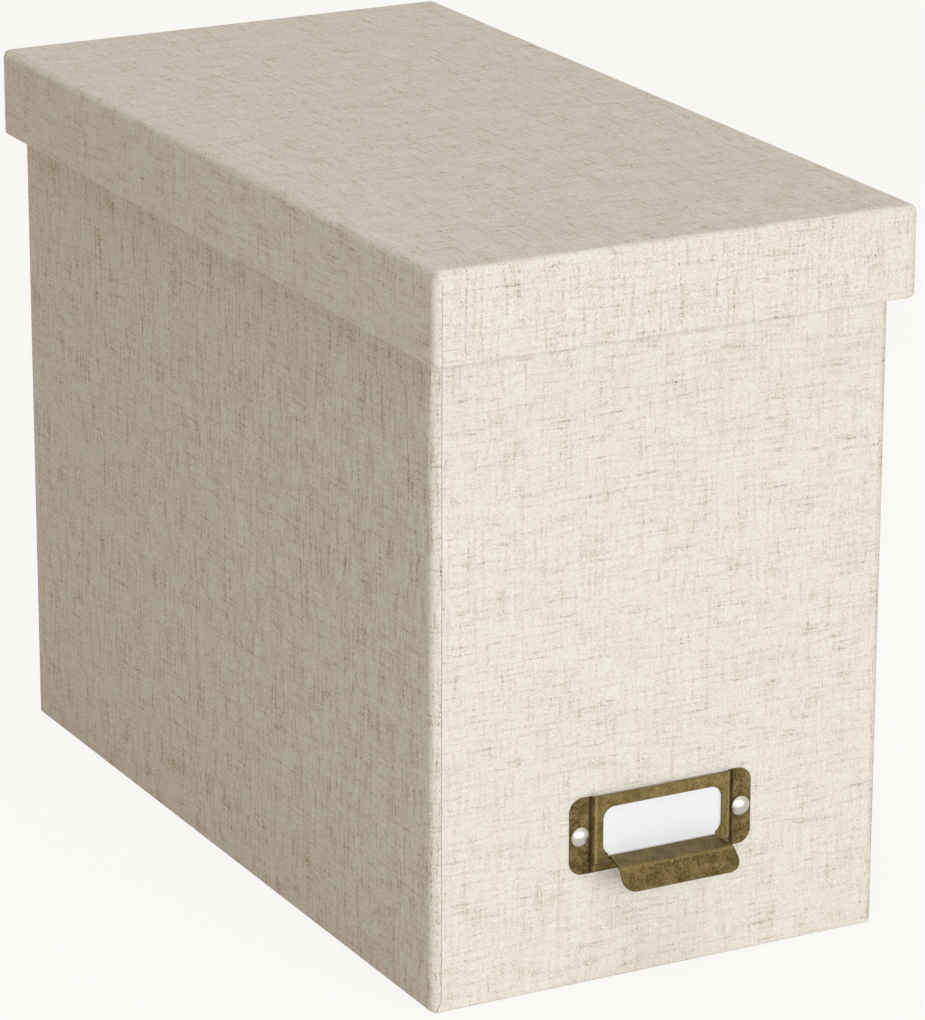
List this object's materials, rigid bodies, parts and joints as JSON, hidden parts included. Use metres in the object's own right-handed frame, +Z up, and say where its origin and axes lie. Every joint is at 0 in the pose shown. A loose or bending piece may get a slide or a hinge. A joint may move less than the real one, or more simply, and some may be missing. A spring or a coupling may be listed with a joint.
{
  "type": "lidded file box",
  "caption": "Tall linen-covered file box with an overhanging lift-off lid, rails for hanging files inside, and a brass label holder with a finger pull low on its short front.",
  "frame": {"origin": "middle of the box's base, on the table", "axes": "+Z up, the short front with the label holder faces -Y, +X to the right seen from the front"},
  "size_m": [0.1848, 0.3614, 0.2646],
  "materials": {
    "linen": "natural linen weave with brown slubs, matt",
    "greyboard": "solid grey board",
    "lining_paper": "plain cream lining paper, matt",
    "base_paper": "plain uncoated paper",
    "kraft_tape": "gummed brown paper tape",
    "rail_steel": "folded zinc-plated sheet steel",
    "antique_brass": "antiqued stamped brass, satin",
    "nickel": "polished nickel plate",
    "card_paper": "blank white card"
  },
  "bodies": {
    "box": {"base_board": "greyboard", "base_sheet": "base_paper", "left_board": "greyboard", "right_board": "greyboard", "front_board": "greyboard", "rear_board": "greyboard", "corner_stays": "kraft_tape", "left_cover": "linen", "right_cover": "linen", "front_cover": "linen", "rear_cover": "linen", "wall_lining": "lining_paper", "floor_lining": "lining_paper", "front_file_rail": "rail_steel", "rear_file_rail": "rail_steel", "label_holder": "antique_brass", "rivets": "nickel", "rivet_washers": "nickel"},
    "label_card": {"label_card": "card_paper"},
    "lid": {"lid_top_board": "greyboard", "lid_front_board": "greyboard", "lid_rear_board": "greyboard", "lid_left_board": "greyboard", "lid_right_board": "greyboard", "lid_corner_stays": "kraft_tape", "lid_cover": "linen", "lid_top_lining": "lining_paper", "lid_skirt_lining": "lining_paper"}
  },
  "joints": [
    {"name": "lid_lift", "type": "slide", "parent": "box", "child": "lid", "axis": [0, 0, 1], "range_m": [0, 0.12]},
    {"name": "card_slide", "type": "slide", "parent": "box", "child": "label_card", "axis": [0, 0, 1], "range_m": [0, 0.025]}
  ]
}
